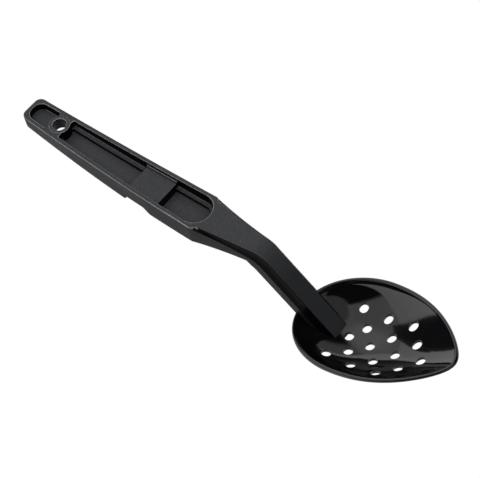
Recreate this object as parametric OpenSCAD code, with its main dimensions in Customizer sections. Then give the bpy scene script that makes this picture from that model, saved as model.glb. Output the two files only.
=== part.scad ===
// Perforated serving spoon, one injection moulding, divided where its regions meet.
// Drawing frame: the end of the handle's rim is at x = 0, +X runs to the bowl and
// +Z is the way the mould opens. at_rest() then lays the spoon on a table, where it
// touches at the heel of the handle and under the bowl.

/* [Handle] */
// Length of the handle, from its end to the shoulder where the neck starts
handle_l = 124.6; // [110:0.2:145]
// Width over the rim at the end
end_w = 15.6; // [14.6:0.1:20]
// Width over the rim at the shoulder
grip_w = 24.2; // [23:0.1:30]
// How far the sides bulge out, half way along the handle
side_bow = 0.4; // [0:0.1:1]
// Depth at the end
end_d = 8.4; // [7.4:0.1:10]
// Depth at the belly, the deepest place
belly_d = 13.4; // [12:0.1:16]
// Distance from the end to the belly
belly_x = 82; // [70:1:95]
// How quickly the depth grows from the end to the belly
belly_power = 1.5; // [1.2:0.05:2]
// Depth at the shoulder
grip_d = 12.6; // [11.5:0.1:14]
// How far the rim dips below a straight line, half way along the handle
top_bow = 1.5; // [0:0.1:3]
// Corner radius of the end, seen from above
end_corner_r = 3.4; // [2:0.1:5]
// Radius of the shoulder's corners, seen from above
shoulder_r = 2.4; // [1:0.1:3]
// Slope of the outer sides, in degrees
side_draft = 1; // [0.5:0.25:3]
// Radius of the long edges underneath
keel_r = 1; // [0.6:0.1:1.6]
// Bevel of the top edges
edge_r = 0.3; // [0.2:0.05:0.5]

/* [Pockets] */
// Width of the rim round the pockets
rim_land = 2.3; // [1.8:0.1:2.8]
// Slope of the pocket walls, in degrees
pocket_draft = 2; // [1:0.25:4]
// Radius between the pockets' walls and floors
floor_r = 0.8; // [0.4:0.1:1.2]
// Corner radius of the pockets beside the hanging hole
corner_r = 1.2; // [1.1:0.1:2]
// Radius of the round end of the pocket at the end
end_round_r = 5.4; // [3:0.1:5.5]
// Depth of the pocket at the end
end_pocket_d = 4.8; // [3:0.1:5.4]
// Depth of the long pocket
long_pocket_d = 6.4; // [5.6:0.1:7]
// Depth of the pocket beside the neck
front_pocket_d = 8; // [6:0.1:9]
// Length of the long pocket, from the hanging hole's web to the platform
long_pocket_l = 52; // [46:0.5:58]
// Length of the platform between the long pocket and the one beside the neck
platform_l = 21.4; // [18:0.2:25]
// Depth of the platform below the rim
platform_d = 3.4; // [2.6:0.1:4.4]
// How far the round end of the last pocket runs past the shoulder
pocket_nose = 4.6; // [3:0.1:6]
// Radius of that round end
nose_r = 9.4; // [6:0.1:9.6]

/* [Hanging hole] */
// Distance from the end to the centre of the hole
eye_x = 22.2; // [20:0.1:26]
// Diameter of the hole
eye_bore_d = 8; // [6:0.1:9]
// Diameter of the ring round the hole
eye_ring_d = 12; // [11:0.1:12.6]
// Length of the web that joins the ring to the sides
eye_web = 9.2; // [6:0.1:11]

/* [Rest notch] */
// Depth of the notch across the underside
notch_d = 3.3; // [2:0.1:4]
// How far the notch starts before the platform
notch_lead = 3; // [1:0.1:5]
// Length of the notch
notch_l = 19.5; // [16:0.1:23]
// Length of the notch's step towards the end of the handle
notch_step = 2; // [1:0.1:3]
// Length of the notch's ramp towards the neck
notch_ramp = 6; // [4:0.1:8]

/* [Neck] */
// Length of the level neck, from the shoulder to the bend
neck_l = 42.8; // [36:0.2:50]
// Width of the neck's flat top at the shoulder
neck_w = 20.2; // [18:0.1:22]
// Radius of the bend, on top
bend_r = 15; // [14:0.5:19]
// Slope of the shank below the line of the handle, in degrees
shank_fall = 40.5; // [36:0.5:45]
// Length of the shank, from the bend to the back of the bowl's lip
shank_l = 37.3; // [33:0.1:42]
// Width of the shank's flat top
shank_w = 10.6; // [9:0.1:13]
// Depth at the bend
bend_d = 11; // [10:0.1:12]
// Depth of the shank
shank_d = 12; // [10.5:0.1:13]
// Length over which the shank gains its depth after the bend
shank_swell = 9; // [5:0.5:15]
// How far the parting line stands out past the shank's flat top
flare = 1.9; // [1:0.1:2.4]
// Depth of the parting line below the shank's flat top
flare_d = 4.3; // [3:0.1:5.5]
// Radius of the shank's long edges underneath, where it runs into the bowl
shank_keel_r = 2; // [1:0.1:2]
// Depth of the parting line at the shoulder
shoulder_flare_d = 0.8; // [0.7:0.1:1.6]
// How far the neck's sides curve in, half way along
neck_waist = 0.8; // [0:0.1:1.6]

/* [Bowl] */
// Length of the bowl from its widest place to the tip
bowl_front_l = 60.4; // [54:0.2:66]
// Length of the bowl from its widest place to the back
bowl_back_l = 40.4; // [37:0.2:44]
// Width over the lip
bowl_w = 61.6; // [55:0.2:68]
// Depth inside, below the plane of the lip
bowl_d = 16; // [13.5:0.1:18.5]
// Thickness of the wall
wall = 2.4; // [2:0.1:2.8]
// Slope of the lip's plane against the line of the handle, in degrees
lip_tilt = 19.7; // [15:0.5:24]
// How much the outline narrows towards the tip, where 0 is an ellipse
tip_taper = 0.33; // [0:0.01:0.45]
// Roundness of the outline towards the back, where 1 is an ellipse
back_power = 0.96; // [0.86:0.02:1.1]
// Fullness of the floor towards the tip, where 0.5 is an ellipse
floor_front = 1.03; // [0.8:0.01:1.2]
// Fullness of the floor towards the sides
floor_side = 0.79; // [0.65:0.01:0.95]
// Fullness of the floor towards the back
floor_back = 0.67; // [0.58:0.01:0.8]

/* [Drain holes] */
// Diameter of a drain hole
drain_d = 5.4; // [4.4:0.1:6]
// Distance between the lines of holes, across the bowl
row_pitch = 8.2; // [7.6:0.1:9]
// Distance between the ranks of holes, along the lip's plane
rank_pitch = 8.35; // [7.8:0.05:9]
// Distance from the tip to the first rank, along the lip's plane
first_rank = 21.7; // [19:0.1:24]
// How far the hole in front of the neck stands nearer to the tip than its rank
neck_hole_shift = 2.5; // [1.5:0.1:3.5]

/* [Hidden] */
$fn = 48;

// How far a cut runs past the face that it opens
overrun = 1;
// Steps of the round corners and of the bend
arc_steps = 6;
// Steps along each stretch of the handle and neck
span_steps = 6;
// Spokes and rings of the bowl's surfaces, and steps over its lip
bowl_spokes = 72;
bowl_rings = 12;
lip_steps = 6;
// Number of the rank nearest to the neck, counted from 0 at the tip
last_rank = 6;

// Places along the handle
long_pocket_x = eye_x + eye_web / 2;
platform_x = long_pocket_x + long_pocket_l;
platform_end = platform_x + platform_l;
pocket_end = handle_l + pocket_nose;
neck_x = pocket_end + rim_land;
notch_x = platform_x - notch_lead;
hang_l = long_pocket_x + corner_r + floor_r;

// The rim's arc leaves the shoulder at this slope, and the neck goes straight on
neck_rise = atan(4 * top_bow / handle_l);
bend = neck_rise + shank_fall;
bend_x = handle_l + neck_l * cos(neck_rise);
bend_z = neck_l * sin(neck_rise);
bend_tangent = bend_r * tan(bend / 2);

// The back of the bowl's lip lies at the shank's underside
back_x = bend_x + shank_l * cos(shank_fall) - shank_d * sin(shank_fall);
back_z = bend_z - shank_l * sin(shank_fall) - shank_d * cos(shank_fall);
bowl_l = bowl_front_l + bowl_back_l;
tip_x = back_x + bowl_l * cos(lip_tilt);

// Along the shank, where its top has sunk below the bowl's deepest floor
dive = shank_fall + lip_tilt;
root_end = shank_l + shank_d / tan(dive) + (bowl_d + wall) / sin(dive);

function lerp(a, b, t) = a + (b - a) * t;
function ease(t) = (1 - cos(180 * max(0, min(1, t)))) / 2;
function range(a, b, steps) = [for (i = [0:steps]) lerp(a, b, i / steps)];
function quarter(a, b) = [for (i = [0:arc_steps]) lerp(a, b, 1 - cos(90 * i / arc_steps))];
function onward(a, b, steps) = [for (i = [1:steps]) lerp(a, b, i / steps)];

// Outer form of the handle and level neck, by distance x from the end

function top_z(x) = x < handle_l ? -4 * top_bow * (x / handle_l) * (1 - x / handle_l)
                                 : (x - handle_l) * tan(neck_rise);
function rim_half_w(x) =
    let(s = x / handle_l)
    lerp(end_w, grip_w, s) / 2 + 4 * side_bow * s * (1 - s);
function notch(x) = notch_d * (ease((x - notch_x) / notch_step)
                             - ease((x - notch_x - notch_l + notch_ramp) / notch_ramp));
function handle_depth(x) =
    (x < belly_x ? lerp(belly_d, end_d, pow(1 - x / belly_x, belly_power))
                 : lerp(belly_d, grip_d, pow((x - belly_x) / (handle_l - belly_x), 2)))
    - notch(x);

// A section is [x, z, slope, top half width, parting half width, parting depth, depth,
// radius underneath]

function handle_section(x) =
    let(away = max(0, 1 - x / end_corner_r),
        round_in = end_corner_r * (1 - sqrt(1 - away * away)),
        near_end = round_in / end_corner_r,
        half_w = rim_half_w(x) - round_in)
    [x, top_z(x) - edge_r * near_end, 0, half_w, half_w, shoulder_flare_d,
     handle_depth(x) - (keel_r + edge_r) * near_end, keel_r];

function neck_share(x) = (x - handle_l) / neck_l;
function neck_half_w(x) = lerp(neck_w, shank_w, min(1, neck_share(x))) / 2;
function neck_parting_w(x) =
    let(s = min(1, neck_share(x)))
    lerp(grip_w / 2, shank_w / 2 + flare, s) - 4 * neck_waist * s * (1 - s);
function shoulder_top_w(x) =
    let(t = min(1, (x - handle_l) / shoulder_r))
    neck_half_w(x) + (grip_w - neck_w) / 2 * sqrt(1 - t * t);
function neck_section(x, slope) =
    [x, top_z(x), slope, shoulder_top_w(x), neck_parting_w(x),
     lerp(shoulder_flare_d, flare_d, min(1, neck_share(x))),
     lerp(grip_d, bend_d, min(1, neck_share(x))), keel_r];

// Sections round the bend and down the shank, by angle and by distance

function bend_section(slope) =
    let(turned = slope + neck_rise,
        start_x = bend_x - bend_tangent * cos(neck_rise),
        start_z = bend_z - bend_tangent * sin(neck_rise),
        centre_x = start_x + bend_r * sin(neck_rise),
        centre_z = start_z - bend_r * cos(neck_rise),
        x = centre_x + bend_r * sin(slope),
        z = centre_z + bend_r * cos(slope),
        s = min(1, neck_share(start_x) + (turned / bend) * bend_tangent / neck_l))
    [x, z, slope, lerp(neck_w, shank_w, s) / 2,
     lerp(grip_w / 2, shank_w / 2 + flare, s) - 4 * neck_waist * s * (1 - s),
     lerp(shoulder_flare_d, flare_d, s), lerp(grip_d, bend_d, s), keel_r];
function shank_places() =
    concat(range(bend_tangent, bend_tangent + shank_swell, arc_steps),
           onward(bend_tangent + shank_swell, shank_l, span_steps));
function shank_section(along, turned_in) =
    [bend_x + along * cos(shank_fall), bend_z - along * sin(shank_fall), shank_fall,
     shank_w / 2, shank_w / 2 + flare, flare_d,
     lerp(bend_d, shank_d, ease((along - bend_tangent) / shank_swell)) - turned_in,
     lerp(keel_r, shank_keel_r, ease((along - bend_tangent) / (shank_l - bend_tangent)))];

// Closed ring of points round one section, from the top edge down and back up

function section_ring(s) =
    let(r = s[7],
        foot_w = s[4] - (s[6] - s[5]) * tan(side_draft) - r,
        side = concat([[s[3] - edge_r, 0], [s[3], edge_r], [s[4], s[5]]],
                      [for (i = [0:arc_steps])
                       let(a = 90 * i / arc_steps)
                       [foot_w + r * cos(a), s[6] - r + r * sin(a)]]),
        last = len(side) - 1)
    concat([for (p = side) section_point(s, p.x, p.y)],
           [for (i = [last:-1:0]) section_point(s, -side[i].x, side[i].y)]);
function section_point(s, y, depth) =
    [s[0] - depth * sin(s[2]), y, s[1] - depth * cos(s[2])];

// Solid skin over rings that all have the same number of points

module loft(rings) {
    count = len(rings[0]);
    last = len(rings) - 1;
    skin = [for (k = [0:last - 1]) for (i = [0:count - 1])
            let(j = (i + 1) % count, a = k * count, b = a + count)
            each [[a + i, a + j, b + j], [a + i, b + j, b + i]]];
    first_cap = [for (i = [count - 1:-1:0]) i];
    last_cap = [for (i = [0:count - 1]) last * count + i];
    polyhedron([for (r = rings) each r], concat(skin, [first_cap, last_cap]));
}

module sections(list) {
    loft([for (s = list) section_ring(s)]);
}

// Pockets: rounded outlines that shrink with the draft and curve into the floor

function pocket_half_w(x, inset) = rim_half_w(min(x, handle_l)) - rim_land - inset;
function pocket_corner(x, r, inset, turn) =
    let(rr = max(r - inset, edge_r),
        y = pocket_half_w(x, inset) - rr)
    [for (i = [0:arc_steps])
     let(a = turn + 90 * i / arc_steps)
     [x + rr * cos(a), y * sign(sin(turn + 45)) + rr * sin(a)]];
function pocket_outline(x0, x1, r0, r1, inset) =
    concat(pocket_corner(x1 - max(r1, inset + edge_r), r1, inset, 0),
           pocket_corner(x0 + max(r0, inset + edge_r), r0, inset, 90),
           pocket_corner(x0 + max(r0, inset + edge_r), r0, inset, 180),
           pocket_corner(x1 - max(r1, inset + edge_r), r1, inset, 270));
function pocket_levels(depth) =
    let(lean = tan(pocket_draft))
    concat([[-overrun, -overrun * lean], [0, 0]],
           [for (i = [0:arc_steps])
            let(a = 90 * i / arc_steps)
            [depth - floor_r + floor_r * sin(a),
             (depth - floor_r) * lean + floor_r * (1 - cos(a))]]);
module pocket(x0, x1, r0, r1, depth) {
    loft([for (level = pocket_levels(depth))
          [for (p = pocket_outline(x0, x1, r0, r1, level[1]))
           [p.x, p.y, top_z(p.x) - level[0]]]]);
}

module end_pocket() {
    pocket(rim_land, eye_x - eye_web / 2, end_round_r, corner_r, end_pocket_d);
}
module long_pocket() {
    pocket(long_pocket_x, platform_end, corner_r, corner_r, long_pocket_d);
}
module platform_pocket() {
    pocket(platform_x - platform_l, platform_end + platform_l, corner_r, corner_r, platform_d);
}
module front_pocket_cut() {
    pocket(platform_x, pocket_end, corner_r, nose_r, front_pocket_d);
}

module eye_ring(d) {
    translate([eye_x, 0, -belly_d - overrun])
        cylinder(h = belly_d + 2 * overrun, d = d);
}

// Bowl, in the plane of its lip: p towards the tip, q across, d down from the plane

function lip_place(p, q, d) =
    [back_x + (bowl_back_l + p) * cos(lip_tilt) + d * sin(lip_tilt), q,
     back_z + (bowl_back_l + p) * sin(lip_tilt) - d * cos(lip_tilt)];
function outline(t, inset) =
    let(c = cos(t), s = sin(t), half_w = bowl_w / 2 - inset)
    c > 0 ? [(bowl_front_l - inset) * c, half_w * s * (1 - tip_taper * pow(c, 3))]
          : [(bowl_back_l - inset) * c, half_w * sign(s) * pow(abs(s), back_power)];
function floor_power(t) =
    let(edge = outline(t, 0), c = edge.x / norm(edge))
    floor_side + (floor_front - floor_back) / 2 * c
    + ((floor_front + floor_back) / 2 - floor_side) * c * c;
function bowl_point(t, inset, depth, share) =
    let(edge = outline(t, inset))
    lip_place(share * edge.x, share * edge.y, depth * pow(1 - share * share, floor_power(t)));
function bowl_ring(inset, depth, share) =
    [for (i = [0:bowl_spokes - 1])
     bowl_point(360 * i / bowl_spokes, inset, depth, min(share, 1))];
function lip_ring(k) =
    let(a = 180 * k / lip_steps)
    [for (i = [0:bowl_spokes - 1])
     let(edge = outline(360 * i / bowl_spokes, wall * (1 + cos(a)) / 2))
     lip_place(edge.x, edge.y, -wall / 2 * sin(a))];
function inner_rings() = [for (k = [1:bowl_rings]) bowl_ring(wall, bowl_d, sin(90 * k / bowl_rings))];
function outer_rings() = [for (k = [bowl_rings:-1:1]) bowl_ring(0, bowl_d + wall, sin(90 * k / bowl_rings))];
function lip_rings(first, last) = [for (k = [first:last]) lip_ring(k)];
function lid_ring() =
    [for (i = [0:bowl_spokes - 1])
     let(edge = outline(360 * i / bowl_spokes, wall))
     lip_place(edge.x, edge.y, -bowl_l)];

// Solid between a first pole, rings and a last pole

module capped(first, rings, last) {
    count = len(rings[0]);
    rows = len(rings);
    end = 1 + rows * count;
    start_fan = [for (i = [0:count - 1]) [0, 1 + (i + 1) % count, 1 + i]];
    skin = [for (k = [0:rows - 2]) for (i = [0:count - 1])
            let(j = (i + 1) % count, a = 1 + k * count, b = a + count)
            each [[a + i, a + j, b + i], [a + j, b + j, b + i]]];
    end_fan = [for (i = [0:count - 1]) [end, end - count + i, end - count + (i + 1) % count]];
    polyhedron(concat([first], [for (r = rings) each r], [last]),
               concat(start_fan, skin, end_fan));
}

module bowl_shell() {
    capped(lip_place(0, 0, bowl_d),
           concat(inner_rings(), lip_rings(1, lip_steps - 1), outer_rings()),
           lip_place(0, 0, bowl_d + wall));
}
// The space inside the bowl, carried up past the handle, square to the lip's plane
module bowl_space() {
    capped(lip_place(0, 0, -bowl_l),
           concat([lid_ring()], [for (k = [bowl_rings - 1:-1:0]) inner_rings()[k]]),
           lip_place(0, 0, bowl_d));
}
// That space with the wall of the bowl round it
module bowl_block() {
    capped(lip_place(0, 0, -bowl_l),
           concat([lid_ring(), bowl_ring(wall, bowl_d, 1)],
                  lip_rings(1, lip_steps - 1), outer_rings()),
           lip_place(0, 0, bowl_d + wall));
}

module drain_hole(from_tip, y) {
    top = bowl_d + bowl_l * sin(lip_tilt);
    translate([tip_x - from_tip * cos(lip_tilt), y, back_z - bowl_d - wall - overrun])
        cylinder(h = top + wall + 2 * overrun, d = drain_d);
}
module drain_holes() {
    // One hole nearest to the tip, then ranks of two and three by turns
    for (rank = [0:last_rank]) {
        from_tip = first_rank + rank * rank_pitch;
        if (rank % 2 == 1) {
            drain_hole(from_tip, row_pitch);
            drain_hole(from_tip, -row_pitch);
        } else {
            drain_hole(from_tip - (rank == last_rank ? neck_hole_shift : 0), 0);
            if (rank > 0) {
                drain_hole(from_tip, 2 * row_pitch);
                drain_hole(from_tip, -2 * row_pitch);
            }
        }
    }
}

// Rest on the table: the line under the heel and the bowl lies level

heel_points = [for (x = quarter(0, end_corner_r)) let(s = handle_section(x)) [s[0], s[1] - s[6]]];
keel_points = [for (t = [0, 180]) for (k = [0:bowl_rings])
               let(p = bowl_point(t, 0, bowl_d + wall, sin(90 * k / bowl_rings))) [p.x, p.z]];
rest_slope = min([for (b = keel_points)
                  max([for (a = heel_points) atan2(b.y - a.y, b.x - a.x)])]);
function rest_height(p) = p.y * cos(rest_slope) - p.x * sin(rest_slope);
function rest_reach(p) = p.x * cos(rest_slope) + p.y * sin(rest_slope);
floor_height = min([for (p = concat(heel_points, keel_points)) rest_height(p)]);
end_reach = min([for (x = quarter(0, end_corner_r)) let(s = handle_section(x)) rest_reach([s[0], s[1]])]);
tip_reach = max([for (p = keel_points) rest_reach(p)]);

module at_rest() {
    translate([-(end_reach + tip_reach) / 2, 0, -floor_height])
        rotate([0, rest_slope, 0])
            children();
}

// The regions of the moulding

module hang_end() {
    color("#333538") at_rest() difference() {
        sections([for (x = concat(quarter(0, end_corner_r), onward(end_corner_r, hang_l, span_steps)))
                  handle_section(x)]);
        end_pocket();
        long_pocket();
        eye_ring(eye_ring_d);
    }
}

module hang_eye() {
    color("#333538") at_rest() difference() {
        intersection() {
            sections([for (x = range(eye_x - eye_ring_d, eye_x + eye_ring_d, span_steps)) handle_section(x)]);
            eye_ring(eye_ring_d);
        }
        eye_ring(eye_bore_d);
    }
}

module grip_channel() {
    color("#333538") at_rest() difference() {
        sections([for (x = concat(range(hang_l, notch_x, 2 * span_steps),
                                  onward(notch_x, notch_x + notch_step, arc_steps),
                                  [platform_x])) handle_section(x)]);
        long_pocket();
    }
}

module rest_bridge() {
    ramp_x = notch_x + notch_l - notch_ramp;
    color("#333538") at_rest() difference() {
        sections([for (x = concat(range(platform_x, ramp_x, arc_steps),
                                  onward(ramp_x, ramp_x + notch_ramp, 2 * arc_steps),
                                  [platform_end])) handle_section(x)]);
        platform_pocket();
    }
}

module front_pocket() {
    color("#333538") at_rest() difference() {
        sections(concat([for (x = range(platform_end, handle_l, span_steps)) handle_section(x)],
                        [for (i = [1:arc_steps])
                         neck_section(handle_l + shoulder_r * sin(90 * i / arc_steps), 0)],
                        [for (x = onward(handle_l + shoulder_r, neck_x, 2)) neck_section(x, 0)]));
        front_pocket_cut();
    }
}

module neck() {
    start_x = bend_x - bend_tangent * cos(neck_rise);
    color("#333538") at_rest()
        sections(concat([for (t = range(0, 1, span_steps))
                         neck_section(lerp(neck_x, start_x, t), -neck_rise * t)],
                        [for (a = onward(-neck_rise, shank_fall, 2 * arc_steps)) bend_section(a)]));
}

module shank() {
    color("#333538") at_rest() difference() {
        // Past the back of the lip the underside turns into the wall of the bowl
        sections(concat([for (along = shank_places()) shank_section(along, 0)],
                        [shank_section(shank_l + wall, wall)]));
        bowl_block();
    }
}

module neck_root() {
    color("#333538") at_rest() intersection() {
        sections([for (along = concat(shank_places(), onward(shank_l, root_end, span_steps)))
                  shank_section(along, 0)]);
        bowl_space();
    }
}

module bowl() {
    color("#2b2c2f") at_rest() difference() {
        bowl_shell();
        drain_holes();
    }
}

hang_end();
hang_eye();
grip_channel();
rest_bridge();
front_pocket();
neck();
shank();
neck_root();
bowl();
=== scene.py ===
"""Perforated serving spoon in black moulded plastic, on a white table under soft studio light.

The shapes are worked out in millimetres in the mould's frame: the end of the handle's rim is
at x = 0, +X runs to the bowl and +Z is the way the mould opens. AT_REST lays them on the table.
"""
import math

import bmesh
import bpy
from mathutils import Matrix, Vector


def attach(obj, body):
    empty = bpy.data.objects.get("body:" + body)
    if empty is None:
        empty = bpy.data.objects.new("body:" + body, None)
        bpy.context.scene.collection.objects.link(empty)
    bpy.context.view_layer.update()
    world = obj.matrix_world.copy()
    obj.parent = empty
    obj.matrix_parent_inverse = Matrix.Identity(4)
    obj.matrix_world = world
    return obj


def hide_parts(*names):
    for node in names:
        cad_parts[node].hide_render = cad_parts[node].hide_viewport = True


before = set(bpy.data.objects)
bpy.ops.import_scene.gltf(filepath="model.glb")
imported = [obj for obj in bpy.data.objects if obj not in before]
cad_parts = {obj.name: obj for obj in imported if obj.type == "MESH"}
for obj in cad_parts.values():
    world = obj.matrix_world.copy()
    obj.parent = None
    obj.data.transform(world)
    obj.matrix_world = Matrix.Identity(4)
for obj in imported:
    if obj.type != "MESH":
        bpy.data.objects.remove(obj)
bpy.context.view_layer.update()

scene = bpy.context.scene

MM = 0.001

# How the spoon lies on the table: its slope, and the middle of its length and the height of the
# table once it is sloped
REST_SLOPE = math.radians(-8.359040)
REST_MIDDLE = 139.7125
REST_FLOOR = -8.27851
AT_REST = (Matrix.Scale(MM, 4)
           @ Matrix.Translation((-REST_MIDDLE, 0, -REST_FLOOR))
           @ Matrix.Rotation(REST_SLOPE, 4, "Y"))

# Handle. Lengths run along +X, and depths D are measured down from the rim
HANDLE_L, END_W, GRIP_W, SIDE_BOW = 124.6, 15.8, 23.8, 0.3
END_D, BELLY_D, BELLY_X, BELLY_POWER, GRIP_D = 8.4, 14.5, 82.0, 1.5, 13.9
TOP_BOW, END_CORNER_R, HEEL_R, SHOULDER_R = 1.5, 4.0, 3.0, 2.4
KEEL_R, EDGE_R, DRAFT = 1.0, 0.45, math.tan(math.radians(1.0))

# Hanging hole, in a ring that stands proud of the rim, with a countersink underneath
EYE_X, EYE_BORE_R, EYE_RING_R, EYE_WEB = 22.2, 4.0, 6.0, 9.2
RING_PROUD, RING_EDGE_R, RING_ABOVE_KEEL, MOUTH_R = 0.4, 0.35, 0.8, 0.5
SINK_W, SINK_D = 2.4, 2.8

# Pockets and the platform between the long one and the front one
RIM_LAND, FLOOR_R, LIP_R = 2.3, 0.4, 0.3
LONG_POCKET_L, PLATFORM_L, PAST_SHOULDER, PLATFORM_OVERLAP = 52.0, 20.4, 4.6, 2
LONG_POCKET_X = EYE_X + EYE_WEB / 2
PLATFORM_X = LONG_POCKET_X + LONG_POCKET_L
PLATFORM_END = PLATFORM_X + PLATFORM_L
POCKET_END = HANDLE_L + PAST_SHOULDER

# Each hollow in the rim: where it starts and ends, the radii of its corners there, the depths
# (floor, shelf) at its start and at its end, the width of the shelf, and the gap to the land.
# The last one clears the top of the platform.
POCKETS = (
    (RIM_LAND, EYE_X - EYE_WEB / 2, 5.4, 1.2, ((4.8, 3.0), (4.8, 3.0)), 0.0, 0.0),
    (LONG_POCKET_X, PLATFORM_X, 1.2, EDGE_R, ((7.0, 4.3), (9.5, 6.6)), 2.0, 0.0),
    (PLATFORM_END, POCKET_END, EDGE_R, 9.4, ((9.4, 6.4), (10.4, 7.6)), 1.8, 0.0),
    (PLATFORM_X - PLATFORM_OVERLAP, PLATFORM_END + PLATFORM_OVERLAP, 1.2, 1.2,
     ((3.4, 2.4), (3.4, 2.4)), 0.7, 0.02))

# Rest notch underneath, with a short step at its start and a ramp at its end
NOTCH_D, NOTCH_L, NOTCH_STEP, NOTCH_RAMP, NOTCH_LEAD = 3.3, 19.5, 2.0, 6.0, 3.0
NOTCH_X = PLATFORM_X - NOTCH_LEAD
NOTCH_END = NOTCH_X + NOTCH_L

# Neck and shank. The flare is how far the parting line stands out past the flat top
NECK_L, NECK_W, BEND_R, NECK_WAIST = 42.8, 20.2, 15.0, 0.8
SHANK_L, SHANK_W, SHANK_D, SHANK_KEEL_R = 37.3, 10.6, 12.0, 1.4
FLARE, FLARE_D, SHOULDER_FLARE_D = 2.1, 4.3, 0.8
NECK_RISE = math.atan(4 * TOP_BOW / HANDLE_L)
SHANK_FALL = math.radians(40.5)
BEND = NECK_RISE + SHANK_FALL
BEND_X = HANDLE_L + NECK_L * math.cos(NECK_RISE)
BEND_Z = NECK_L * math.sin(NECK_RISE)
BEND_TANGENT = BEND_R * math.tan(BEND / 2)
BEND_START = BEND_X - BEND_TANGENT * math.cos(NECK_RISE)

# Underneath, the neck tapers until it meets the straight line of the shank
NECK_TAPER_D = 7.0
NECK_TAPER = (GRIP_D - NECK_TAPER_D) / NECK_L
BEND_START_D = BEND_R - (BEND_R - SHANK_D) / math.cos(BEND)
CROOK_X = ((GRIP_D + NECK_TAPER * HANDLE_L - BEND_START_D + BEND_START * math.tan(BEND))
           / (math.tan(BEND) + NECK_TAPER))

# How hollow the sides are between the flat top and the parting line, where 1 is straight
COVE_POWER = 1.5

# Bowl. TIP_TAPER and BACK_POWER shape its outline, and the three powers FLOOR its floor
BOWL_FRONT, BOWL_BACK, BOWL_HALF_W = 60.4, 40.4, 30.8
BOWL_D, WALL, LIP_TILT = 16.0, 2.4, math.radians(19.7)
TIP_TAPER, BACK_POWER = 0.33, 0.96
FLOOR_FRONT, FLOOR_SIDE, FLOOR_BACK = 1.03, 0.79, 0.67
BACK_X = BEND_X + SHANK_L * math.cos(SHANK_FALL) - SHANK_D * math.sin(SHANK_FALL)
BACK_Z = BEND_Z - SHANK_L * math.sin(SHANK_FALL) - SHANK_D * math.cos(SHANK_FALL)
TIP_X = BACK_X + (BOWL_FRONT + BOWL_BACK) * math.cos(LIP_TILT)
DIVE = SHANK_FALL + LIP_TILT

# Drain holes, in ranks across the bowl that are counted from its tip. The middle hole of the
# last rank lies a little forward, clear of the neck's root.
DRAIN_R, ROW_PITCH, RANK_PITCH, FIRST_RANK, ROOT_HOLE_SHIFT = 2.55, 8.2, 8.35, 21.7, 2.5
RANKS = 7


def lerp(a, b, t):
    return a + (b - a) * t


def ease(t):
    return (1 - math.cos(math.pi * max(0.0, min(1.0, t)))) / 2


def steps(a, b, count):
    """count places from just after a up to b."""
    return [lerp(a, b, i / count) for i in range(1, count + 1)]


def quarter_turn(count):
    """Angles from nothing to a right angle, in so many steps."""
    return [math.pi / 2 * i / count for i in range(count + 1)]


def full_turn(count):
    """So many angles all round."""
    return [2 * math.pi * i / count for i in range(count)]


# Outer form of the handle, neck and shank. A section is the place of its top, its slope, the
# half widths at the top and at the parting line, the depth of that line, the whole depth and
# the radius underneath.

def top_z(x):
    """Height of the top: a slight bow along the handle, and a straight rise along the neck."""
    if x < HANDLE_L:
        return -4 * TOP_BOW * (x / HANDLE_L) * (1 - x / HANDLE_L)
    return (x - HANDLE_L) * math.tan(NECK_RISE)


def rim_half_w(x):
    s = x / HANDLE_L
    return lerp(END_W, GRIP_W, s) / 2 + 4 * SIDE_BOW * s * (1 - s)


def handle_depth(x):
    if x < BELLY_X:
        depth = lerp(BELLY_D, END_D, (1 - x / BELLY_X) ** BELLY_POWER)
    else:
        depth = lerp(BELLY_D, GRIP_D, ((x - BELLY_X) / (HANDLE_L - BELLY_X)) ** 2)
    step = ease((x - NOTCH_X) / NOTCH_STEP)
    ramp = ease((x - NOTCH_X - NOTCH_L + NOTCH_RAMP) / NOTCH_RAMP)
    return depth - NOTCH_D * (step - ramp)


def handle_section(x):
    away = max(0.0, 1 - x / END_CORNER_R)
    near_end = 1 - math.sqrt(1 - away * away)
    half_w = rim_half_w(x) - END_CORNER_R * near_end
    return (x, top_z(x) - EDGE_R * near_end, 0.0, half_w, half_w, SHOULDER_FLARE_D,
            handle_depth(x) - HEEL_R * near_end, KEEL_R)


def neck_parting(share):
    """Half width and depth of the parting line, by share of the neck's length."""
    s = min(1.0, share)
    waist = 4 * NECK_WAIST * s * (1 - s)
    half_w = lerp(GRIP_W / 2, SHANK_W / 2 + FLARE, s) - waist
    return half_w, lerp(SHOULDER_FLARE_D, FLARE_D, s)


def neck_section(x, slope):
    share = (x - HANDLE_L) / NECK_L
    t = min(1.0, (x - HANDLE_L) / SHOULDER_R)
    top_w = lerp(NECK_W, SHANK_W, min(1.0, share)) / 2
    top_w += (GRIP_W - NECK_W) / 2 * math.sqrt(1 - t * t)
    depth = max(GRIP_D - NECK_TAPER * (x - HANDLE_L),
                BEND_START_D - (BEND_START - x) * math.tan(BEND))
    return (x, top_z(x), slope, top_w, *neck_parting(share), depth, KEEL_R)


def bend_section(slope):
    """A section of the bend: an arc on top, and the straight line of the shank underneath."""
    start_z = BEND_Z - BEND_TANGENT * math.sin(NECK_RISE)
    turned = (slope + NECK_RISE) / BEND
    share = (BEND_START - HANDLE_L) / NECK_L + turned * BEND_TANGENT / NECK_L
    x = BEND_START + BEND_R * (math.sin(NECK_RISE) + math.sin(slope))
    z = start_z - BEND_R * (math.cos(NECK_RISE) - math.cos(slope))
    depth = BEND_R - (BEND_R - SHANK_D) / math.cos(SHANK_FALL - slope)
    top_w = lerp(NECK_W, SHANK_W, min(1.0, share)) / 2
    return (x, z, slope, top_w, *neck_parting(share), depth, KEEL_R)


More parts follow.
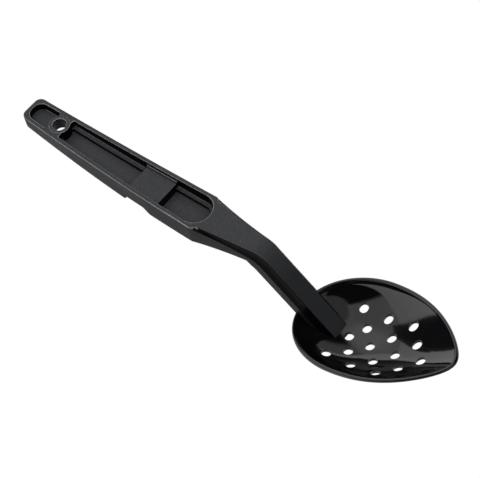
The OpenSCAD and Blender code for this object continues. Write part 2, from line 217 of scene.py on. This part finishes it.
def shank_section(along):
    keel = lerp(KEEL_R, SHANK_KEEL_R, ease((along - BEND_TANGENT) / (SHANK_L - BEND_TANGENT)))
    x, z = BEND_X + along * math.cos(SHANK_FALL), BEND_Z - along * math.sin(SHANK_FALL)
    return (x, z, SHANK_FALL, SHANK_W / 2, SHANK_W / 2 + FLARE, FLARE_D, SHANK_D, keel)


def section_points(section):
    """Places round one section, from the middle of its top down one side and up the other."""
    x, z, slope, top_w, part_w, part_d, depth, keel = section
    foot_w = part_w - (depth - part_d) * DRAFT - keel
    side = [(top_w - EDGE_R + EDGE_R * math.sin(a), EDGE_R - EDGE_R * math.cos(a))
            for a in quarter_turn(4)]
    side += [(lerp(top_w, part_w, t ** COVE_POWER), lerp(EDGE_R, part_d, t))
             for t in steps(0, 1, 8)]
    side += [(foot_w + keel * math.cos(a), depth - keel + keel * math.sin(a))
             for a in quarter_turn(6)]
    ring = [(0.0, 0.0)] + side + [(0.0, depth)] + [(-y, d) for y, d in reversed(side)]
    return [Vector((x - d * math.sin(slope), y, z - d * math.cos(slope))) for y, d in ring]


# Bowl, in the plane of its lip: p towards the tip, q across, d down from the plane

def lip_place(p, q, d):
    return Vector((BACK_X + (BOWL_BACK + p) * math.cos(LIP_TILT) + d * math.sin(LIP_TILT), q,
                   BACK_Z + (BOWL_BACK + p) * math.sin(LIP_TILT) - d * math.cos(LIP_TILT)))


def in_lip(v):
    """The same place as p, q and d."""
    x, z = v.x - BACK_X, v.z - BACK_Z
    return (x * math.cos(LIP_TILT) + z * math.sin(LIP_TILT) - BOWL_BACK, v.y,
            x * math.sin(LIP_TILT) - z * math.cos(LIP_TILT))


def outline(t, inset):
    """The edge of the bowl, p and q, at the angle t from the way to the tip."""
    c, s = math.cos(t), math.sin(t)
    half_w = BOWL_HALF_W - inset
    if c > 0:
        return (BOWL_FRONT - inset) * c, half_w * s * (1 - TIP_TAPER * c ** 3)
    return (BOWL_BACK - inset) * c, half_w * math.copysign(abs(s) ** BACK_POWER, s)


def floor_power(t):
    """How the floor curves in that direction. A lower power is a fuller bowl."""
    p, q = outline(t, 0)
    c = p / math.hypot(p, q)
    mean = (FLOOR_FRONT + FLOOR_BACK) / 2
    return FLOOR_SIDE + (FLOOR_FRONT - FLOOR_BACK) / 2 * c + (mean - FLOOR_SIDE) * c * c


def bowl_point(t, inset, depth, share):
    """A place on a bowl surface, share of the way from the middle to the edge."""
    p, q = outline(t, inset)
    fall = depth * max(0.0, 1 - share * share) ** floor_power(t)
    return lip_place(share * p, share * q, fall)


HALVINGS = 40


def bowl_depth(p, q, inset, depth):
    """Depth of a bowl surface below the lip's plane, with the share of the way out and the edge
    in that direction, which is found by halving."""
    away = math.atan2(abs(q), p)
    low, high = 0.0, math.pi
    for _ in range(HALVINGS):
        t = (low + high) / 2
        edge = outline(t, inset)
        if math.atan2(edge[1], edge[0]) < away:
            low = t
        else:
            high = t
    share = math.hypot(p, q) / math.hypot(*edge)
    return depth * max(0.0, 1 - share * share) ** floor_power(t), share, edge


def into_wall(v):
    """The same place, or the nearest one inside the bowl's wall where it would come through."""
    p, q, d = in_lip(v)
    if d <= 0:
        return v
    floor, share, edge = bowl_depth(p, q, WALL / 2, BOWL_D + WALL / 2)
    if share >= 1:
        return lip_place(edge[0], math.copysign(edge[1], q), 0)
    return lip_place(p, q, min(d, floor))


# Making meshes

def draw_ring(bm, places):
    """A closed line through the places, from a circle with that many points."""
    ring = bmesh.ops.create_circle(bm, segments=len(places), radius=1.0)["verts"]
    ring = sorted(ring, key=lambda v: math.atan2(v.co.y, v.co.x) % (2 * math.pi))
    for vert, place in zip(ring, places):
        vert.co = place
    return ring


def draw_on(bm, ring, places):
    """The line carried on to new places, with a skin behind it."""
    edges = [bm.edges.get((a, ring[i - 1])) for i, a in enumerate(ring)]
    made = bmesh.ops.extrude_edge_only(bm, edges=edges)["geom"]
    new = {e for e in made if isinstance(e, bmesh.types.BMVert)}
    following = []
    for vert in ring:
        ends = [e.other_vert(vert) for e in vert.link_edges]
        following.append(next(end for end in ends if end in new))
    for vert, place in zip(following, places):
        vert.co = place
    return following


def skin(rings, close=True):
    """A bmesh over rings that all have the same number of places, closed at both ends unless
    close is off."""
    bm = bmesh.new()
    ring = first = draw_ring(bm, rings[0])
    for places in rings[1:]:
        ring = draw_on(bm, ring, places)
    if close:
        for end in (first, ring):
            edges = [bm.edges.get((a, end[i - 1])) for i, a in enumerate(end)]
            bmesh.ops.edgeloop_fill(bm, edges=edges)
    bmesh.ops.recalc_face_normals(bm, faces=bm.faces)
    if bm.calc_volume(signed=True) < 0:
        bmesh.ops.reverse_faces(bm, faces=bm.faces)
    return bm


def to_object(bm, name):
    """The bmesh, laid at rest, as an object of that name."""
    bmesh.ops.transform(bm, matrix=AT_REST, verts=bm.verts)
    return in_scene(bm, name)


def in_scene(bm, name):
    """The bmesh as an object of that name. The bmesh is used up."""
    mesh = bpy.data.meshes.new(name)
    bm.to_mesh(mesh)
    bm.free()
    obj = bpy.data.objects.new(name, mesh)
    scene.collection.objects.link(obj)
    return obj


def join_with(obj, tool, operation):
    """obj with the tool cut out of it or added to it. The tool is used up."""
    cut = obj.modifiers.new("cut", "BOOLEAN")
    cut.operation = operation
    cut.solver = "EXACT"
    cut.object = tool
    bpy.context.view_layer.update()
    evaluated = obj.evaluated_get(bpy.context.evaluated_depsgraph_get())
    shaped = bpy.data.meshes.new_from_object(evaluated)
    obj.modifiers.clear()
    old, obj.data = obj.data, shaped
    bpy.data.meshes.remove(old)
    spent = tool.data
    bpy.data.objects.remove(tool)
    bpy.data.meshes.remove(spent)


CREASE, FLAT_FACE_WEIGHT = math.radians(32.0), 90


def smooth(obj):
    """Smooth shading that keeps the flat faces flat and the creases sharp."""
    mesh = obj.data
    mesh.shade_smooth()
    mesh.set_sharp_from_angle(angle=CREASE)
    even = obj.modifiers.new("even normals", "WEIGHTED_NORMAL")
    even.keep_sharp = True
    even.weight = FLAT_FACE_WEIGHT


# Handle, neck and shank, with the pockets and the hanging hole

def handle_rings():
    """The rings of places from the handle's end to the foot of the shank. The sections stand
    upright up to neck_x, then lean to the neck's rise, and turn with the bend to the shank's
    fall."""
    sections = [handle_section(END_CORNER_R * (1 - math.cos(a))) for a in quarter_turn(10)]
    spans = ((NOTCH_X, 36), (NOTCH_X + NOTCH_STEP, 8), (NOTCH_END - NOTCH_RAMP, 6),
             (NOTCH_END, 12), (HANDLE_L, 16))
    start = END_CORNER_R
    for end, count in spans:
        sections += [handle_section(x) for x in steps(start, end, count)]
        start = end
    sections += [neck_section(HANDLE_L + SHOULDER_R * math.sin(a), 0.0)
                 for a in quarter_turn(10)[1:]]
    neck_x = POCKET_END + RIM_LAND
    sections += [neck_section(x, 0.0) for x in steps(HANDLE_L + SHOULDER_R, neck_x, 4)]
    sections += [neck_section(x, -NECK_RISE * (x - neck_x) / (BEND_START - neck_x))
                 for x in steps(neck_x, CROOK_X, 16) + steps(CROOK_X, BEND_START, 4)]
    sections += [bend_section(a) for a in steps(-NECK_RISE, SHANK_FALL, 20)]
    sections += [shank_section(s) for s in steps(BEND_TANGENT, SHANK_L, 14)]
    return [section_points(s) for s in sections]


def root_piece():
    """The end of the shank, let into the wall of the bowl on all sides but its top."""
    root_l = SHANK_D / math.tan(DIVE) + (BOWL_D + WALL) / math.sin(DIVE)
    places = [SHANK_L] + steps(SHANK_L, SHANK_L + root_l, 40)
    rings = [[into_wall(v) for v in section_points(shank_section(s))] for s in places]
    return to_object(skin(rings), "neck_root")


CORNER_STEPS, LEAST_END_W = 12, 0.3


def pocket_outline(x0, x1, r0, r1, inset, shelf):
    """Places round a pocket with rounded corners, from its bowl end on the +Y side. No corner
    takes up the whole width, since places that coincide would spoil the cut."""
    places = []
    for x, r, turn in ((x1, r1, 0), (x0, r0, 90), (x0, r0, 180), (x1, r1, 270)):
        centre_x = x - max(r, inset + EDGE_R) if x == x1 else x + max(r, inset + EDGE_R)
        half_w = rim_half_w(min(centre_x, HANDLE_L)) - RIM_LAND - inset - shelf
        round_r = min(max(r - inset, EDGE_R), half_w - LEAST_END_W)
        side = 1 if turn < 180 else -1
        for i in range(CORNER_STEPS + 1):
            a = math.radians(turn + 90 * i / CORNER_STEPS)
            places.append((centre_x + round_r * math.cos(a),
                           (half_w - round_r) * side + round_r * math.sin(a)))
    return places


def with_sides(corner_places, count=30):
    """The outline with places along its two long sides, so that it follows the rim's bow."""
    n = len(corner_places) // 4
    corners = [corner_places[i * n:(i + 1) * n] for i in range(4)]
    places = []
    for i, corner in enumerate(corners):
        places += corner
        if i in (0, 2):
            (xa, ya), (xb, yb) = corner[-1], corners[i + 1][0]
            places += [(lerp(xa, xb, t), lerp(ya, yb, t)) for t in steps(0, 1, count)[:-1]]
    return places


def pocket(x0, x1, r0, r1, depths, shelf_w, clear):
    """The tool that hollows a pocket: a rounded lip, a wall that leans in, a shelf with rounded
    edges along both sides if it has a width, and a rounded foot.

    A level of it is how far it lies below the rim, the floor (if the first mark is 1) or the
    shelf (if the second one is), its inset and the width that the shelf takes there. Each level
    lies lower and further in than the one before, or the cut would fail."""
    (floor0, shelf0), (floor1, shelf1) = depths
    levels = [(-1.0, 0, 0, -LIP_R, 0)]
    levels += [(LIP_R * (1 - math.cos(a)), 0, 0, LIP_R * (math.sin(a) - 1), 0)
               for a in quarter_turn(4)]
    if shelf_w:
        levels += [(-0.4, 0, 1, 0.15, 0), (0, 0, 1, 0.18, 0.3), (0.05, 0, 1, 0.21, shelf_w - 0.3),
                   (0.15, 0, 1, 0.24, shelf_w - 0.1), (0.4, 0, 1, 0.27, shelf_w)]
    levels += [(FLOOR_R * (math.sin(a) - 1), 1, 0, 0.3 + FLOOR_R * (1 - math.cos(a)), shelf_w)
               for a in quarter_turn(6)]
    rings = []
    for down, to_floor, to_shelf, inset, shelf in levels:
        places = with_sides(pocket_outline(x0, x1, r0, r1, inset + clear, shelf))
        ring = []
        for x, y in places:
            t = (x - x0) / (x1 - x0)
            deep = down + to_floor * lerp(floor0, floor1, t) + to_shelf * lerp(shelf0, shelf1, t)
            ring.append(Vector((x, y, top_z(x) - deep)))
        rings.append(ring)
    return to_object(skin(rings), "pocket tool")


def eye_turning(radii):
    """A form turned about the hanging hole's axis, through (radius, height) places."""
    places = [[Vector((EYE_X + r * math.cos(a), r * math.sin(a), top_z(EYE_X) + z))
               for a in full_turn(64)] for r, z in radii]
    return to_object(skin(places), "eye tool")


def handle_piece():
    """The handle, neck and shank, with the pockets cut out, and the ring added and bored."""
    obj = to_object(skin(handle_rings()), "handle_and_neck")
    for hollow in POCKETS:
        join_with(obj, pocket(*hollow), "DIFFERENCE")
    keel_z = -handle_depth(EYE_X)
    r = RING_EDGE_R
    ring = [(EYE_RING_R, keel_z + RING_ABOVE_KEEL)]
    ring += [(EYE_RING_R - r + r * math.cos(a), RING_PROUD - r + r * math.sin(a))
             for a in quarter_turn(4)]
    join_with(obj, eye_turning(ring), "UNION")
    r = MOUTH_R
    bore = [(EYE_BORE_R + SINK_W, keel_z - 2), (EYE_BORE_R + SINK_W, keel_z),
            (EYE_BORE_R, SINK_D + keel_z)]
    bore += [(EYE_BORE_R + r - r * math.cos(a), RING_PROUD - r + r * math.sin(a))
             for a in quarter_turn(4)]
    bore += [(EYE_BORE_R + r, RING_PROUD + 1)]
    join_with(obj, eye_turning(bore), "DIFFERENCE")
    return obj


# Bowl with its drain holes

BOWL_SPOKES, BOWL_RINGS, LIP_RINGS = 160, 44, 12


def close_middle(bm):
    """Both open ends of the bowl's skin carried on to one place, which a drain hole cuts away."""
    edges = [e for e in bm.edges if e.is_boundary]
    made = bmesh.ops.extrude_edge_only(bm, edges=edges)["geom"]
    tips = [e for e in made if isinstance(e, bmesh.types.BMVert)]
    bmesh.ops.pointmerge(bm, verts=tips, merge_co=lip_place(0, 0, BOWL_D))


def bowl_piece():
    spokes = full_turn(BOWL_SPOKES)
    inner = [math.sin(a) for a in quarter_turn(BOWL_RINGS)[1:]]
    rings = [[bowl_point(t, WALL, BOWL_D, s) for t in spokes] for s in inner]
    for k in range(1, LIP_RINGS):
        a = math.pi * k / LIP_RINGS
        inset, up = WALL * (1 + math.cos(a)) / 2, WALL / 2 * math.sin(a)
        rings.append([lip_place(*outline(t, inset), -up) for t in spokes])
    rings += [[bowl_point(t, 0, BOWL_D + WALL, s) for t in spokes] for s in reversed(inner)]
    bm = skin(rings, close=False)
    close_middle(bm)
    bmesh.ops.recalc_face_normals(bm, faces=bm.faces)
    obj = to_object(bm, "bowl")
    under, over = BACK_Z - BOWL_D - WALL - 2, BACK_Z + 45
    for x, y in drain_places():
        places = [[Vector((x + DRAIN_R * math.cos(a), y + DRAIN_R * math.sin(a), z))
                   for a in full_turn(48)] for z in (under, over)]
        join_with(obj, to_object(skin(places), "drain tool"), "DIFFERENCE")
    return obj


def drain_places():
    """The x and y of each drain hole. Ranks of two and of three take turns, but the first rank
    is one hole."""
    places = []
    for rank in range(RANKS):
        from_tip = FIRST_RANK + rank * RANK_PITCH
        if rank % 2:
            places += [(from_tip, ROW_PITCH), (from_tip, -ROW_PITCH)]
        else:
            places += [(from_tip - (ROOT_HOLE_SHIFT if rank == RANKS - 1 else 0), 0)]
            if rank:
                places += [(from_tip, 2 * ROW_PITCH), (from_tip, -2 * ROW_PITCH)]
    return [(TIP_X - back * math.cos(LIP_TILT), y) for back, y in places]


# Materials

def noise(nodes, links, place, scale, detail):
    made = nodes.new("ShaderNodeTexNoise")
    made.inputs["Scale"].default_value = scale
    made.inputs["Detail"].default_value = detail
    links.new(place, made.inputs["Vector"])
    return made.outputs["Fac"]


def spread(nodes, links, value, low, high, from_low=0.25, from_high=0.75):
    """The value between from_low and from_high, which are about the ends of a noise, spread
    out between low and high."""
    made = nodes.new("ShaderNodeMapRange")
    made.inputs["From Min"].default_value = from_low
    made.inputs["From Max"].default_value = from_high
    made.inputs["To Min"].default_value = low
    made.inputs["To Max"].default_value = high
    links.new(value, made.inputs["Value"])
    return made.outputs["Result"]


def blend_colours(nodes, links, share, first, second):
    made = nodes.new("ShaderNodeMix")
    made.data_type = "RGBA"
    factor, colour_a, colour_b = made.inputs[0], made.inputs[6], made.inputs[7]
    for socket, colour in ((colour_a, first), (colour_b, second)):
        if isinstance(colour, tuple):
            socket.default_value = (*colour, 1)
        else:
            links.new(colour, socket)
    links.new(share, factor)
    return made.outputs[2]


def math_node(nodes, links, operation, *values):
    """The result of a calculation with numbers and sockets."""
    made = nodes.new("ShaderNodeMath")
    made.operation = operation
    for socket, value in zip(made.inputs, values):
        if isinstance(value, (int, float)):
            socket.default_value = value
        else:
            links.new(value, socket)
    return made.outputs[0]


MOTTLE_SCALE, GLOSS_SCALE, GRAIN_DEPTH = 900, 70, 0.0002


def plastic(name, specular, roughness, grain, grain_scale, dark, pale, shade_towards_bowl=None):
    """Moulded plastic: mottled colour from dark to pale, gloss that varies between the two values
    of roughness, and fine grain. shade_towards_bowl is a painted shade: the darker colour that it
    takes nearer the bowl, with the two ends of the change in metres along the spoon."""
    mat = bpy.data.materials.new(name)
    mat.use_nodes = True
    nodes, links = mat.node_tree.nodes, mat.node_tree.links
    shader = nodes["Principled BSDF"]
    shader.inputs["Specular IOR Level"].default_value = specular
    place = nodes.new("ShaderNodeTexCoord").outputs["Object"]
    mottle = noise(nodes, links, place, MOTTLE_SCALE, 5)
    colour = blend_colours(nodes, links, spread(nodes, links, mottle, 0, 1), dark, pale)
    if shade_towards_bowl:
        shaded_colour, starts, ends = shade_towards_bowl
        along = nodes.new("ShaderNodeSeparateXYZ")
        links.new(place, along.inputs[0])
        share = spread(nodes, links, along.outputs["X"], 0, 1, starts, ends)
        colour = blend_colours(nodes, links, share, colour, shaded_colour)
    links.new(colour, shader.inputs["Base Color"])
    uneven = noise(nodes, links, place, GLOSS_SCALE, 2)
    links.new(spread(nodes, links, uneven, *roughness), shader.inputs["Roughness"])
    bump = nodes.new("ShaderNodeBump")
    bump.inputs["Strength"].default_value = grain
    bump.inputs["Distance"].default_value = GRAIN_DEPTH
    links.new(noise(nodes, links, place, grain_scale, 3), bump.inputs["Height"])
    links.new(bump.outputs["Normal"], shader.inputs["Normal"])
    return mat


# The last colour of satin is painted shade: darker on the bend and the shank, nearer the bowl.
satin = plastic("satin black plastic", 0.25, (0.5, 0.62), 0.35, 1900,
                (0.038, 0.039, 0.043), (0.062, 0.063, 0.069),
                ((0.021, 0.022, 0.025), 0.016, 0.042))
# Painted light and shade: the sides are painted lighter than the tops, and darker towards the
# bowl.
painted_light_side = plastic("satin side of black plastic", 0.08, (0.5, 0.62), 0.4, 1500,
                (0.052, 0.053, 0.058), (0.086, 0.087, 0.094),
                ((0.020, 0.0205, 0.023), -0.15, 0.0))
gloss = plastic("polished black plastic", 0.75, (0.05, 0.09), 0.02, 400,
                (0.002, 0.002, 0.0025), (0.004, 0.004, 0.005))
# Painted shade: near black for the walls of the pockets, the hanging hole and the drain holes,
# and for the hollow sides of the neck.
inner = plastic("painted shade on inner walls of black plastic", 0.06, (0.25, 0.35), 0.1, 900,
                (0.001, 0.001, 0.0015), (0.003, 0.003, 0.004))
# Painted highlight: pale colour on the rounded edges of the rim, the pockets and the ring.
painted_edge_highlight = plastic("painted highlight on edges of black plastic", 0.4, (0.4, 0.55), 0.3, 1500,
                 (0.2, 0.203, 0.21), (0.42, 0.425, 0.435))
# Painted glint: pale colour on the fillets and shelf edges along the pocket walls.
painted_fillet_glint = plastic("painted glint on fillets of black plastic", 0.4, (0.3, 0.4), 0.2, 1500,
                (0.1, 0.101, 0.104), (0.2, 0.202, 0.207))


def top_slope(x):
    """Slope of the top behind the shoulder, by place along the handle."""
    bend_end = BEND_X + BEND_TANGENT * math.cos(SHANK_FALL)
    return SHANK_FALL * max(0.0, min(1.0, (x - BEND_START) / (bend_end - BEND_START)))


# What tells faces apart. How far up a face looks: at least, on a flat top, on the flat of the
# neck and on the floor of a pocket, and at most, on a pocket's wall and under the parting line
TOP_UP, NECK_UP, FLOOR_UP, WALL_UP, UNDER_UP = 0.98, 0.985, 0.97, 0.35, 0.03
# How far it looks sideways, at least, on the flanks of the neck
NECK_ASIDE = 0.15
# How far down the lip goes, how wide the foot of a pocket's wall is, and how far outside its
# outline and over its floor a pocket still counts, in millimetres
LIP_DOWN, FOOT_W, POCKET_MARGIN, POCKET_SKIN = 0.33, 0.7, 0.35, 0.5
FAR_BAND_START = HANDLE_L + 14


def faces_in_mould(obj):
    """Each face of the object, with its middle and the way it faces in the mould's frame."""
    from_rest = AT_REST.inverted()
    turn_back = from_rest.to_3x3().normalized()
    for face in obj.data.polygons:
        yield face, from_rest @ face.center, (turn_back @ face.normal).normalized()


def pocket_kind(at, facing, down, land):
    """What a face in a pocket is: part of its lip, its walls or its foot, or else a flat."""
    if down < LIP_DOWN:
        return "edges" if facing.z < TOP_UP else "tops"
    if facing.z < WALL_UP:
        return "walls"
    if abs(at.y) > land - FOOT_W and facing.z < FLOOR_UP:
        return "fillets"
    return "tops"


def neck_kind(at, facing):
    """What a face of the neck or shank is. The hollow between its flat top and the parting line
    counts as a wall, which is painted in shade, but on the +Y side only from some way along."""
    slope = top_slope(at.x)
    rise = facing.x * math.sin(slope) + facing.z * math.cos(slope)
    if abs(facing.y) <= NECK_ASIDE:
        return "tops"
    if rise <= UNDER_UP:
        return "sides"
    starts = HANDLE_L if at.y < 0 else FAR_BAND_START
    return "walls" if rise < NECK_UP and at.x > starts else "tops"


def finish_faces(obj):
    """Satin on the moulded tops and outsides, painted lighter on the outsides; painted shade on
    the walls in the pockets and in the hollow sides of the neck; painted highlights on the edges
    and painted glints on the fillets."""
    finishes = {"tops": satin, "walls": inner, "edges": painted_edge_highlight, "fillets": painted_fillet_glint, "sides": painted_light_side}
    for mat in finishes.values():
        obj.data.materials.append(mat)
    slots = {kind: i for i, kind in enumerate(finishes)}
    for face, at, facing in faces_in_mould(obj):
        down = top_z(at.x) - at.z
        on_handle = min(at.x, HANDLE_L)
        land = rim_half_w(on_handle) - RIM_LAND
        in_pocket = (abs(at.y) < land + POCKET_MARGIN
                     and RIM_LAND - POCKET_MARGIN < at.x < POCKET_END + POCKET_MARGIN
                     and down < handle_depth(on_handle) - POCKET_SKIN)
        kind = "tops"
        if in_pocket:
            kind = pocket_kind(at, facing, down, land)
        elif at.x > HANDLE_L + SHOULDER_R:
            kind = neck_kind(at, facing)
        elif down < EDGE_R + 0.05 and 0.05 < facing.z < TOP_UP:
            kind = "edges"
        elif abs(facing.z) < 0.5:
            kind = "sides"
        face.material_index = slots[kind]


def paint_shade_in_holes(obj):
    """Painted shade on the walls of the drain holes."""
    obj.data.materials.append(inner)
    for face, at, facing in faces_in_mould(obj):
        near = min(math.hypot(at.x - x, at.y - y) for x, y in drain_places())
        if near < DRAIN_R + 0.02 and abs(facing.z) < 0.1:
            face.material_index = 1


handle = handle_piece()
handle.data.materials.clear()
finish_faces(handle)
smooth(handle)
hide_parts("hang_end", "hang_eye", "grip_channel", "rest_bridge", "front_pocket",
            "neck", "shank")
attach(handle, "root")

root = root_piece()
finish_faces(root)
smooth(root)
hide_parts("neck_root")
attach(root, "root")

bowl = bowl_piece()
bowl.data.materials.clear()
bowl.data.materials.append(gloss)
paint_shade_in_holes(bowl)
smooth(bowl)
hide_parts("bowl")
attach(bowl, "root")

# Table, lamps and camera

TABLE_R, TABLE_GREY, TABLE_GLOW, GLOW_SHARE = 3.0, 0.5, 1.1, 0.9
TABLE_RIM = ((1.12, 0.03), (1.08, 0.1), (1.04, 0.2), (1.01, 0.25))


def white_sweep():
    """The white table, which curves up into a low rim far away. TABLE_RIM is how much wider and
    higher each of its rings is than the one before."""
    bm = bmesh.new()
    bmesh.ops.create_circle(bm, cap_ends=True, cap_tris=True, segments=96, radius=TABLE_R)
    edges = [e for e in bm.edges if e.is_boundary]
    for grow, rise in TABLE_RIM:
        made = bmesh.ops.extrude_edge_only(bm, edges=edges)["geom"]
        verts = [e for e in made if isinstance(e, bmesh.types.BMVert)]
        bmesh.ops.scale(bm, vec=(grow, grow, 1), verts=verts)
        bmesh.ops.translate(bm, vec=(0, 0, rise), verts=verts)
        edges = [e for e in made if isinstance(e, bmesh.types.BMEdge) and e.is_boundary]
    obj = in_scene(bm, "white sweep")
    obj.data.shade_smooth()
    obj.data.materials.append(glowing_white())


def glowing_white():
    """Nearly all glow for the camera and for reflections, and a matt grey for all other light."""
    mat = bpy.data.materials.new("glowing white")
    mat.use_nodes = True
    nodes, links = mat.node_tree.nodes, mat.node_tree.links
    matt = nodes["Principled BSDF"]
    matt.inputs["Base Color"].default_value = (TABLE_GREY, TABLE_GREY, TABLE_GREY, 1)
    matt.inputs["Roughness"].default_value = 0.9
    matt.inputs["Specular IOR Level"].default_value = 0.0
    glow = nodes.new("ShaderNodeEmission")
    glow.inputs["Strength"].default_value = TABLE_GLOW
    ray = nodes.new("ShaderNodeLightPath").outputs
    seen = math_node(nodes, links, "MAXIMUM", ray["Is Camera Ray"], ray["Is Glossy Ray"])
    seen = math_node(nodes, links, "MAXIMUM", seen, ray["Is Transmission Ray"])
    mix = nodes.new("ShaderNodeMixShader")
    links.new(math_node(nodes, links, "MULTIPLY", seen, GLOW_SHARE), mix.inputs[0])
    links.new(matt.outputs[0], mix.inputs[1])
    links.new(glow.outputs[0], mix.inputs[2])
    links.new(mix.outputs[0], nodes["Material Output"].inputs["Surface"])
    return mat


white_sweep()


def panel(name, direction, height, away, width, tall, glow):
    """A lit panel, direction degrees round the table, where 0 is past the bowl and 90 on the +Y
    side. The polish doesn't mirror it but the cards of studio_world, which have soft edges."""
    lamp = bpy.data.lights.new(name, "AREA")
    lamp.shape = "RECTANGLE"
    lamp.size, lamp.size_y = width, tall
    lamp.energy = glow * math.pi * width * tall
    obj = bpy.data.objects.new(name, lamp)
    scene.collection.objects.link(obj)
    a = math.radians(direction)
    obj.location = (away * math.cos(a), away * math.sin(a), height)
    facing = Vector((math.cos(a), math.sin(a), 0)) if away else Vector((0, 0, 1))
    obj.rotation_euler = facing.to_track_quat("Z", "Y").to_euler()
    obj.visible_camera = False
    obj.visible_glossy = False


panel("ceiling", 0, 1.5, 0, 2.6, 2.6, 1.15)
panel("left wall", 182, 1.24, 1.6, 2.4, 2.44, 1.0)
panel("right wall", 0, 1.70, 1.6, 2.3, 1.55, 0.6)


# What the polish mirrors, as cards: from and to round the table, where 0 is past the handle's
# end and 90 on the -Y side, from and to above the table's level, brightness, and softness of
# the border. All but the brightness is in degrees.
CARDS = ((-180, 180, 58, 100, 0.34, 3), (-38, 52, -8, 60, 0.66, 4), (-32, 4, 16, 52, 0.3, 8),
         (-95, -38, -20, 30, 0.4, 5), (140, 220, 32, 62, 0.35, 6))
# Brightness between the cards, and of the room that lights the spoon
BETWEEN_CARDS, DARK_ROOM = 0.012, 0.01


def studio_world():
    """Dark for the lighting, white where the camera sees past the table, and for reflections a
    studio of soft cards."""
    world = bpy.data.worlds.new("studio")
    world.use_nodes = True
    nodes, links = world.node_tree.nodes, world.node_tree.links

    def work_out(operation, *values):
        return math_node(nodes, links, operation, *values)

    def fade(value, start, end):
        made = nodes.new("ShaderNodeMapRange")
        made.interpolation_type = "SMOOTHSTEP"
        made.inputs["From Min"].default_value = start
        made.inputs["From Max"].default_value = end
        links.new(value, made.inputs["Value"])
        return made.outputs["Result"]

    sky = nodes.new("ShaderNodeSeparateXYZ")
    links.new(nodes.new("ShaderNodeTexCoord").outputs["Generated"], sky.inputs[0])
    x, y, z = sky.outputs
    level = work_out("ARCSINE", z)
    round_table = work_out("ARCTAN2", work_out("MULTIPLY", y, -1), work_out("MULTIPLY", x, -1))
    total = BETWEEN_CARDS
    for first, last, low, high, glow, soft in CARDS:
        middle, half = math.radians((first + last) / 2), math.radians((last - first) / 2)
        low, high, soft = math.radians(low), math.radians(high), math.radians(soft)
        turned = work_out("WRAP", work_out("SUBTRACT", round_table, middle), math.pi, -math.pi)
        across = fade(work_out("ABSOLUTE", turned), half + soft, half - soft)
        upwards = work_out("MULTIPLY", fade(level, low - soft, low + soft),
                           fade(level, high + soft, high - soft))
        card = work_out("MULTIPLY", work_out("MULTIPLY", across, upwards), glow)
        total = work_out("ADD", card, total)
    ray = nodes.new("ShaderNodeLightPath").outputs
    lit = work_out("MULTIPLY", total, ray["Is Glossy Ray"])
    lit = work_out("MAXIMUM", lit, ray["Is Camera Ray"])
    background = nodes["Background"].inputs
    links.new(work_out("MAXIMUM", lit, DARK_ROOM), background["Strength"])
    background["Color"].default_value = (1, 1, 1, 1)
    scene.world = world


studio_world()
scene.view_settings.view_transform = "Standard"

# The photograph's camera: where it looks, from how far, from which side and how high, and how
# much it is tilted, as fitted to the photograph
CAMERA_TARGET, CAMERA_AWAY = Vector((0.140 - REST_MIDDLE * MM, 0, 0.015)), 0.830521
CAMERA_TURN, CAMERA_LIFT, CAMERA_ROLL = (math.radians(a) for a in (37.916, 62.033, 0.801))


def photo_camera():
    sin_turn, cos_turn = math.sin(CAMERA_TURN), math.cos(CAMERA_TURN)
    sin_lift, cos_lift = math.sin(CAMERA_LIFT), math.cos(CAMERA_LIFT)
    sight = Vector((sin_turn * cos_lift, -cos_turn * cos_lift, sin_lift))
    across = Vector((cos_turn, sin_turn, 0))
    upright = Vector((-sin_turn * sin_lift, cos_turn * sin_lift, cos_lift))
    right = across * math.cos(CAMERA_ROLL) + upright * math.sin(CAMERA_ROLL)
    up = upright * math.cos(CAMERA_ROLL) - across * math.sin(CAMERA_ROLL)
    lens = bpy.data.cameras.new("camera")
    lens.sensor_width = 36
    lens.lens = 118.74
    lens.shift_x, lens.shift_y = 0.0261, 0.0020
    lens.clip_start = 0.01
    camera = bpy.data.objects.new("camera", lens)
    scene.collection.objects.link(camera)
    turned = Matrix((right, up, sight)).transposed().to_4x4()
    camera.matrix_world = Matrix.Translation(CAMERA_TARGET + sight * CAMERA_AWAY) @ turned
    scene.camera = camera


photo_camera()
